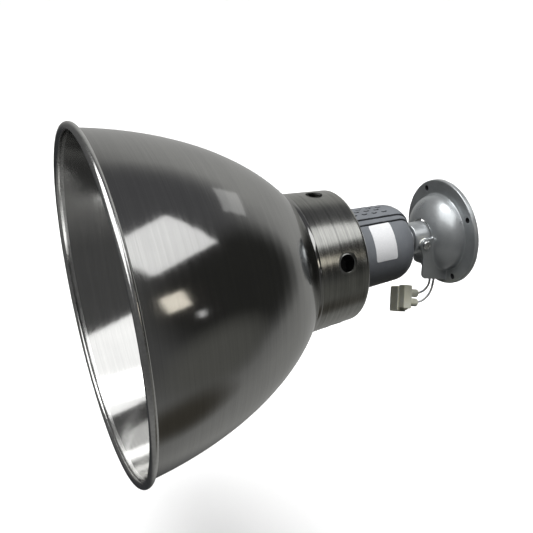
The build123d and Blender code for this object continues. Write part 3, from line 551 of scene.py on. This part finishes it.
def off_step(co):
    """How far a point lies from the nearest step beside the band, in millimetres round the housing."""
    degrees = min(abs(off_middle(co) - groove) for groove in GROOVES)
    return math.radians(degrees) * co.yz.length / MM


def on_housing(co):
    within = HOUSING_LIP + HOUSING_MARGIN < co.x / MM < SHOULDER_END
    return within and co.yz.length / MM > INNERMOST


def dress_housing(housing):
    """Cuts a groove at the foot of each step and paints shade into the grooves and the sunken marks."""
    mesh = housing.data
    mesh.materials.append(LOOKS["recess"])
    outward = [vertex.normal.yz.dot(vertex.co.yz) > 0 for vertex in mesh.vertices]
    places = [vertex.co.copy() for vertex in mesh.vertices]
    for place, faces_out in zip(places, outward):
        if on_housing(place) and faces_out:
            depth = GROOVE_DEPTH * math.exp(-(off_step(place) / GROOVE_WIDTH) ** 2)
            shrink = 1 - depth * MM / place.yz.length
            place.y *= shrink
            place.z *= shrink
    mesh.vertices.foreach_set("co", [value for place in places for value in place])
    mesh.update()
    for face in mesh.polygons:
        centre = face.center
        if not on_housing(centre) or face.normal.yz.dot(centre.yz) <= -0.0001:
            continue
        x = centre.x / MM
        floor_radius = housing_radius(x) + BAND_RISE - SHALLOWEST_MARK
        in_field = off_middle(centre) < MARKS_HALF_ANGLE and x < MARKS_END
        in_mark = in_field and centre.yz.length / MM < floor_radius
        # Faces in a groove or a sunken mark get the painted shade.
        if in_mark or off_step(centre) < GROOVE_WIDTH:
            face.material_index = 1


PLATE_HOLE_CIRCLE, PLATE_HOLE_START, PLATE_HOLE_REACH = 38.5, 54.0, 2.5
QUARTER = 90.0


def dress_casting(casting):
    """Keeps the plate's back flat and paints shade on the walls of its four screw holes."""
    mesh = casting.data
    mesh.materials.append(LOOKS["recess"])
    for vertex in mesh.vertices:
        vertex.co.x = min(vertex.co.x, 0.0)
    for face in mesh.polygons:
        centre = face.center
        turned = math.degrees(math.atan2(centre.z, centre.y)) - PLATE_HOLE_START
        from_hole = math.radians((turned + QUARTER / 2) % QUARTER - QUARTER / 2)
        radial = centre.yz.length / MM - PLATE_HOLE_CIRCLE
        # Faces on the hole walls get the painted shade.
        if math.hypot(radial, from_hole * PLATE_HOLE_CIRCLE) < PLATE_HOLE_REACH and abs(face.normal.x) < 0.7:
            face.material_index = 1


dress_housing(softened("holder_housing", "lamp", 0.4, 2))
softened("swivel_stem", "lamp", 0.28, 6)
softened("ceramic_insert", "lamp", 0.5, 4)
softened("shade_ring", "lamp", 0.36, 3)
dress_casting(softened("base_casting", "base", 0.5, 5))
softened("pivot_screw", "base", 0.16, 3)
softened("pivot_nut", "base", 0.16, 3)
softened("pivot_washers", "base", 0.12, 2)
softened("lead_clamp", "base", 0.18, 4)
softened("lead_clamp_screw", "base", 0.1, 3)
connector = softened("connector_housing", "base", 0.2, 4)


# ---- the sticker: a blank label that follows the housing and lifts a little at one corner ----
low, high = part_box("rating_sticker")
STICKER_START, STICKER_END = low.x / MM, high.x / MM
STICKER_MIDDLE, STICKER_HALF, STICKER_CORNER = math.radians(146.9), 14.3, 1.5
STICKER_ROWS, STICKER_COLUMNS = 40, 60
LIFT_START, LIFT_LENGTH, LIFT = 0.75, 5.0, 0.9   # the corner that has come loose
UNEVENNESS, UNEVEN_SPREAD = 0.02, 14.0


def sticker_skin(shape, height):
    """One face of the label, at a height above the housing; gives its outline, in order."""
    rows = []
    for step in range(STICKER_ROWS + 1):
        x = STICKER_START + (STICKER_END - STICKER_START) * step / STICKER_ROWS
        edge = min(x - STICKER_START, STICKER_END - x, STICKER_CORNER)
        cut = STICKER_CORNER - math.sqrt(STICKER_CORNER ** 2 - (STICKER_CORNER - edge) ** 2)
        radius = housing_radius(x)
        row = []
        for place in range(STICKER_COLUMNS + 1):
            across = 2 * place / STICKER_COLUMNS - 1
            reach = math.asin(across * (STICKER_HALF - cut) / (radius + height))
            corner = max(0.0, across - LIFT_START) * max(0.0, (x - STICKER_END) / LIFT_LENGTH + 1)
            uneven = UNEVENNESS * noise.noise(Vector((x, across * UNEVEN_SPREAD, 0.0)) * 0.5)
            raised = radius + height + max(0.0, LIFT * corner + uneven)
            row.append(shape.verts.new(around(x, raised, STICKER_MIDDLE + reach)))
        rows.append(row)
    for first, second in zip(rows, rows[1:]):
        stitch(shape, first, second, closed=False)
    right = [row[-1] for row in rows]
    left = [row[0] for row in rows]
    return rows[0] + right[1:] + rows[-1][::-1][1:] + left[::-1][1:-1]


shape = bmesh.new()
stitch(shape, sticker_skin(shape, 0.15), sticker_skin(shape, 0.03))
piece("blank_sticker", shape, "lamp", "paper", ["rating_sticker"])


# ---- cords -----------------------------------------------------------------------------------
LEAD_DIAMETER = 0.0018
LEADS = {
    "supply_lead_a": (0.0622, (-7.0, 3.2, -34.5),
                      [(-7.0, 3.2, -9.0), (-6.6, 3.2, -20.0), (-7.0, 3.2, -31.0), (-6.6, 3.0, -41.0),
                       (-5.4, 2.7, -49.0), (-9.9, 2.2, -55.0), (-17.29, 1.81, -57.01),
                       (-24.58, 1.88, -54.54)]),
    "supply_lead_b": (0.0688, (-7.0, -3.2, -34.5),
                      [(-7.0, -3.2, -9.0), (-6.6, -3.2, -20.0), (-7.0, -3.2, -32.0), (-6.4, -3.0, -44.0),
                       (-7.3, -2.6, -54.6), (-12.1, -2.2, -61.2), (-19.6, -1.86, -63.73),
                       (-26.89, -1.79, -61.25)]),
}
for name, (length, leaves, route) in LEADS.items():
    curve = bpy.data.curves.new(name + "_cord", "CURVE")
    curve.dimensions = "3D"
    spline = curve.splines.new("NURBS")
    spline.points.add(len(route) - 1)
    for point, place in zip(spline.points, route):
        point.co = (*(value * MM for value in place), 1.0)
    spline.order_u = 3
    spline.use_endpoint_u = True
    spline.resolution_u = 16
    curve.bevel_depth = LEAD_DIAMETER / 2
    curve.bevel_resolution = 6
    curve.use_fill_caps = True
    curve.materials.append(LOOKS["silicone"])
    cord = bpy.data.objects.new(name + "_cord", curve)
    scene.collection.objects.link(cord)
    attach(cord, "base")
    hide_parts(name)


# ---- stage and light -------------------------------------------------------------------------
def bearing(azimuth, elevation):
    """A unit vector from degrees: azimuth from +X towards +Y, elevation up from the horizon."""
    turn_z, rise = math.radians(azimuth), math.radians(elevation)
    return Vector((math.cos(turn_z) * math.cos(rise), math.sin(turn_z) * math.cos(rise), math.sin(rise)))


def softbox(name, azimuth, elevation, width, height, radiance, colour=(1.0, 1.0, 1.0), distance=2.5):
    """A flat rectangular light that looks in at the lamp from a bearing."""
    light = bpy.data.lights.new(name, "AREA")
    light.shape = "RECTANGLE"
    light.size = width
    light.size_y = height
    light.energy = radiance * math.pi * width * height
    light.color = colour
    lamp = bpy.data.objects.new(name, light)
    scene.collection.objects.link(lamp)
    lamp.location = bearing(azimuth, elevation) * distance
    lamp.rotation_euler = bearing(azimuth, elevation).to_track_quat("Z", "Y").to_euler()
    return lamp


def plain_stage(name, shape, base):
    mesh = bpy.data.meshes.new(name)
    for face in shape.faces:
        face.smooth = True
    shape.to_mesh(mesh)
    shape.free()
    made = bpy.data.objects.new(name, mesh)
    made.location = base
    scene.collection.objects.link(made)
    return made


FLOOR_Z = -0.31               # just under the rim when the lamp is tilted right down
STAGE_RADIUS = 9.0

shape = bmesh.new()
bmesh.ops.create_circle(shape, cap_ends=True, segments=96, radius=STAGE_RADIUS)
floor = plain_stage("floor", shape, (0, 0, FLOOR_Z))
n = Nodes("pale_floor")
n.join(n.ramp(n.noise(n.coordinates, 3.0, 4.0), (0.3, (0.88, 0.88, 0.88)), (0.7, (0.90, 0.90, 0.90))),
       n.shader.inputs["Base Color"])
n.shader.inputs["Roughness"].default_value = 0.9
floor.data.materials.append(n.material)
floor.visible_glossy = False
floor.visible_diffuse = False

shape = bmesh.new()
bmesh.ops.create_uvsphere(shape, u_segments=64, v_segments=32, radius=STAGE_RADIUS - 0.1)
backdrop = plain_stage("backdrop", shape, (0, 0, FLOOR_Z))
n = Nodes("pale_backdrop")
n.shader.inputs["Base Color"].default_value = (0.0, 0.0, 0.0, 1.0)
n.shader.inputs["Emission Color"].default_value = (1.0, 1.0, 1.0, 1.0)
n.shader.inputs["Emission Strength"].default_value = 1.0
backdrop.data.materials.append(n.material)
backdrop.visible_diffuse = False
backdrop.visible_glossy = False
backdrop.visible_transmission = False
backdrop.visible_shadow = False

sun = bpy.data.lights.new("soft_sun", "SUN")
sun.energy = 3.7
sun.angle = math.radians(60)
daylight = bpy.data.objects.new("soft_sun", sun)
scene.collection.objects.link(daylight)
daylight.rotation_euler = bearing(-75, 76).to_track_quat("Z", "Y").to_euler()
daylight.visible_glossy = False

softbox("window_left", -40, 50, 1.35, 1.05, 1.35)
softbox("lamp_left", -58, 19, 0.36, 0.42, 1.5, (1.0, 0.93, 0.8))
softbox("lamp_small", -52, 7, 0.10, 0.16, 1.0)
softbox("ceiling", -158, 64, 2.9, 2.9, 1.9)
softbox("overhead", 158, 71, 0.9, 1.3, 3.8)
softbox("ceiling_spot", 18, 36, 0.75, 0.4, 0.36)

world = bpy.data.worlds.new("studio")
world.use_nodes = True
scene.world = world
tree = world.node_tree
direction = tree.nodes.new("ShaderNodeTexCoord").outputs["Generated"]


def sky_patch(under, azimuth, elevation, radius, softness, colour):
    """Mixes a round patch of colour over what the world already shows."""
    facing = tree.nodes.new("ShaderNodeVectorMath")
    facing.operation = "DOT_PRODUCT"
    tree.links.new(direction, facing.inputs[0])
    facing.inputs[1].default_value = bearing(azimuth, elevation)
    edge = tree.nodes.new("ShaderNodeMapRange")
    edge.interpolation_type = "SMOOTHSTEP"
    tree.links.new(facing.outputs["Value"], edge.inputs["Value"])
    edge.inputs["From Min"].default_value = math.cos(math.radians(radius + softness))
    edge.inputs["From Max"].default_value = math.cos(math.radians(max(0.0, radius - softness)))
    mix = tree.nodes.new("ShaderNodeMix")
    mix.data_type = "RGBA"
    tree.links.new(edge.outputs["Result"], mix.inputs["Factor"])
    if isinstance(under, bpy.types.NodeSocket):
        tree.links.new(under, mix.inputs["A"])
    else:
        mix.inputs["A"].default_value = (*under, 1.0)
    mix.inputs["B"].default_value = (*colour, 1.0)
    return mix.outputs["Result"]


sky = (0.10, 0.10, 0.10)
sky = sky_patch(sky, 0, -90, 55, 20, (0.20, 0.20, 0.195))
sky = sky_patch(sky, 40, -35, 45, 22, (0.30, 0.30, 0.29))
sky = sky_patch(sky, 48, 5, 38, 20, (0.44, 0.44, 0.43))
sky = sky_patch(sky, -28, 10, 30, 9, (0.030, 0.030, 0.028))
sky = sky_patch(sky, -42, -22, 14, 9, (0.13, 0.13, 0.12))
sky = sky_patch(sky, -45, -52, 10, 8, (0.06, 0.055, 0.045))
sky = sky_patch(sky, 10, 58, 22, 12, (0.11, 0.11, 0.115))
sky = sky_patch(sky, 118, -48, 34, 14, (0.035, 0.036, 0.038))
tree.links.new(sky, tree.nodes["Background"].inputs["Color"])
tree.nodes["Background"].inputs["Strength"].default_value = 1.0
world.cycles_visibility.diffuse = False
scene.view_settings.view_transform = "Standard"
